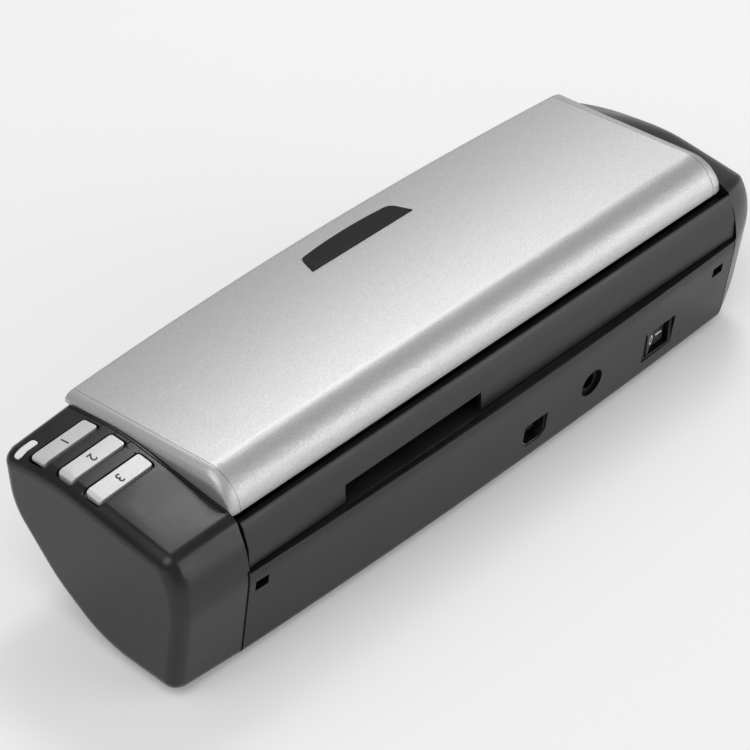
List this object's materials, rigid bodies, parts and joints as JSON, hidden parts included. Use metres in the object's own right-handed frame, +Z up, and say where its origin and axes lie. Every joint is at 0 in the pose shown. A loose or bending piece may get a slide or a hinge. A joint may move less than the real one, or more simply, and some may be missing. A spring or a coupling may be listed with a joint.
{
  "type": "sheetfed document scanner",
  "caption": "Compact sheetfed document scanner with a silver tip-up lid, push buttons on one end, a rear card slot and rear sockets.",
  "frame": {"origin": "on the table under the middle of the overall box", "axes": "+X towards the button end, +Y towards the socket side, +Z up"},
  "size_m": [0.303, 0.0957, 0.07],
  "materials": {
    "black_plastic": "satin moulded",
    "dark_plastic": "fine textured",
    "silver_paint": "fine metallic silver",
    "badge_black": "glossy",
    "button_plastic": "fine metallic silver",
    "window_plastic": "frosted",
    "rocker_plastic": "smooth",
    "grey_plastic": "moulded",
    "rubber_grey": "fine ribbed",
    "steel": "ground",
    "gear_plastic": "natural",
    "sensor_plastic": "moulded",
    "clear_glass": "clear",
    "board_green": "coated",
    "nickel_shell": "plated",
    "motor_metal": "drawn",
    "bronze": "sintered"
  },
  "bodies": {
    "scanner_body": {"lower_housing": "black_plastic", "rear_panel": "dark_plastic", "upper_frame": "dark_plastic", "lower_guide": "dark_plastic", "rear_guide": "dark_plastic", "separation_pad": "rubber_grey", "button_end_cap": "black_plastic", "plain_end_cap": "black_plastic", "light_window": "window_plastic", "button_board": "board_green", "power_switch": "dark_plastic", "usb_socket": "nickel_shell", "usb_tongue": "dark_plastic", "dc_jack": "dark_plastic", "jack_pin": "steel", "main_board": "board_green", "upper_sensor": "sensor_plastic", "upper_glass": "clear_glass", "lower_sensor": "sensor_plastic", "lower_glass": "clear_glass", "drive_motor": "motor_metal", "feed_bush": "bronze", "exit_bush": "bronze", "pickup_bush": "bronze", "rear_foot_near": "rubber_grey", "rear_foot_far": "rubber_grey", "front_foot_near": "rubber_grey", "front_foot_far": "rubber_grey", "near_hinge_pin": "steel", "far_hinge_pin": "steel"},
    "lid": {"top_lid": "silver_paint", "near_lid_trim": "silver_paint", "far_lid_trim": "silver_paint", "badge_plate": "badge_black", "chute_liner": "grey_plastic"},
    "near_guide": {"near_paper_guide": "dark_plastic"},
    "far_guide": {"far_paper_guide": "dark_plastic"},
    "guide_pinion_body": {"guide_pinion": "gear_plastic"},
    "button_one_body": {"button_one": "button_plastic"},
    "button_two_body": {"button_two": "button_plastic"},
    "button_three_body": {"button_three": "button_plastic"},
    "rocker_body": {"power_rocker": "rocker_plastic"},
    "feed_drive": {"feed_shaft": "steel", "feed_roller_near": "rubber_grey", "feed_roller_far": "rubber_grey", "feed_gear": "gear_plastic"},
    "exit_drive": {"exit_shaft": "steel", "exit_roller_near": "rubber_grey", "exit_roller_far": "rubber_grey", "exit_gear": "gear_plastic"},
    "pickup_drive": {"pickup_shaft": "steel", "pickup_roller": "rubber_grey", "pickup_gear": "gear_plastic"},
    "idler_drive": {"idler_gear": "gear_plastic"},
    "motor_drive": {"motor_shaft": "steel", "motor_pinion": "gear_plastic"},
    "feed_pinch": {"feed_pinch_roller": "gear_plastic"},
    "exit_pinch": {"exit_pinch_roller": "gear_plastic"}
  },
  "joints": [
    {"name": "lid_hinge", "type": "hinge", "parent": "scanner_body", "child": "lid", "pos_m": [0, 0.0333, 0.0583], "axis": [-1, 0, 0], "range_deg": [0, 86]},
    {"name": "near_guide_slide", "type": "slide", "parent": "lid", "child": "near_guide", "axis": [-1, 0, 0], "range_m": [0, 0.083]},
    {"name": "far_guide_slide", "type": "slide", "parent": "lid", "child": "far_guide", "axis": [1, 0, 0], "range_m": [0, 0.083]},
    {"name": "guide_pinion_turn", "type": "hinge", "parent": "lid", "child": "guide_pinion_body", "pos_m": [-0.00725, 0.009, 0.063], "axis": [0, 0, 1], "range_deg": [-2, 398.3]},
    {"name": "rocker_tilt", "type": "hinge", "parent": "scanner_body", "child": "rocker_body", "pos_m": [-0.09315, 0.04175, 0.0167], "axis": [0, 0, -1], "range_deg": [0, 22]},
    {"name": "feed_spin", "type": "hinge", "parent": "scanner_body", "child": "feed_drive", "pos_m": [0.125, 0.014, 0.0346], "axis": [1, 0, 0], "continuous": true},
    {"name": "exit_spin", "type": "hinge", "parent": "scanner_body", "child": "exit_drive", "pos_m": [0.125, -0.0224, 0.0356], "axis": [1, 0, 0], "continuous": true},
    {"name": "pickup_spin", "type": "hinge", "parent": "scanner_body", "child": "pickup_drive", "pos_m": [0.125, 0.018, 0.05009], "axis": [1, 0, 0], "continuous": true},
    {"name": "idler_spin", "type": "hinge", "parent": "scanner_body", "child": "idler_drive", "pos_m": [0.125, -0.00454, 0.02814], "axis": [1, 0, 0], "continuous": true},
    {"name": "motor_spin", "type": "hinge", "parent": "scanner_body", "child": "motor_drive", "pos_m": [0.125, 0.0255, 0.01354], "axis": [1, 0, 0], "continuous": true},
    {"name": "feed_pinch_spin", "type": "hinge", "parent": "scanner_body", "child": "feed_pinch", "pos_m": [0.125, 0.014, 0.0442], "axis": [1, 0, 0], "continuous": true},
    {"name": "exit_pinch_spin", "type": "hinge", "parent": "scanner_body", "child": "exit_pinch", "pos_m": [0.125, -0.0224, 0.0442], "axis": [1, 0, 0], "continuous": true},
    {"name": "button_one_press", "type": "slide", "parent": "scanner_body", "child": "button_one_body", "axis": [0, 0, -1], "range_m": [0, 0.0008], "stiffness_N_per_m": 900, "springref_m": -0.0006},
    {"name": "button_two_press", "type": "slide", "parent": "scanner_body", "child": "button_two_body", "axis": [0, 0, -1], "range_m": [0, 0.0008], "stiffness_N_per_m": 900, "springref_m": -0.0006},
    {"name": "button_three_press", "type": "slide", "parent": "scanner_body", "child": "button_three_body", "axis": [0, 0, -1], "range_m": [0, 0.0008], "stiffness_N_per_m": 900, "springref_m": -0.0006}
  ],
  "couplings": [
    {"joint": "far_guide_slide", "follows": "near_guide_slide", "ratio": 1},
    {"joint": "guide_pinion_turn", "follows": "near_guide_slide", "rad_per_m": 83.333},
    {"joint": "exit_spin", "follows": "feed_spin", "ratio": 1.1429},
    {"joint": "pickup_spin", "follows": "feed_spin", "ratio": -1},
    {"joint": "idler_spin", "follows": "feed_spin", "ratio": -0.66667},
    {"joint": "motor_spin", "follows": "feed_spin", "ratio": -3},
    {"joint": "feed_pinch_spin", "follows": "feed_spin", "ratio": -1.7143},
    {"joint": "exit_pinch_spin", "follows": "feed_spin", "ratio": -1.6327}
  ]
}
